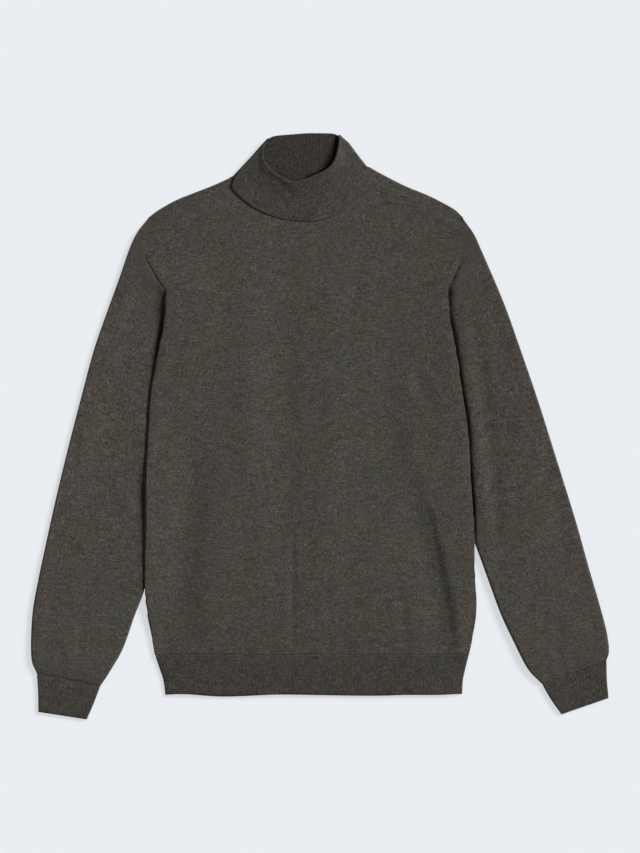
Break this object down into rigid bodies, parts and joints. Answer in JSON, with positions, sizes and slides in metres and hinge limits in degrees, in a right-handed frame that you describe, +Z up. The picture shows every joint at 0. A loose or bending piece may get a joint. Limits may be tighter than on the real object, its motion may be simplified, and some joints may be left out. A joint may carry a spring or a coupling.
{
  "type": "turtleneck sweater",
  "caption": "Fine-knit turtleneck sweater laid flat, with a folded-down ribbed roll collar, long set-in sleeves, and ribbed cuffs and hem.",
  "frame": {"origin": "middle of the laid garment's bounding box in plan, on the surface that it lies on", "axes": "+Y from the hem to the collar, +X to the right for a viewer who looks down on the front, +Z up, out of the front"},
  "size_m": [0.7794, 0.7895, 0.0156],
  "materials": {
    "jersey": "matte fine-gauge wool jersey, charcoal-brown melange",
    "rib_knit": "matte ribbed wool knit, charcoal-brown melange"
  },
  "bodies": {
    "root": {"front": "jersey", "back": "jersey", "sleeve_left": "jersey", "sleeve_right": "jersey", "cuff_left": "rib_knit", "cuff_right": "rib_knit", "hem_front": "rib_knit", "hem_back": "rib_knit", "collar": "rib_knit"}
  },
  "joints": []
}
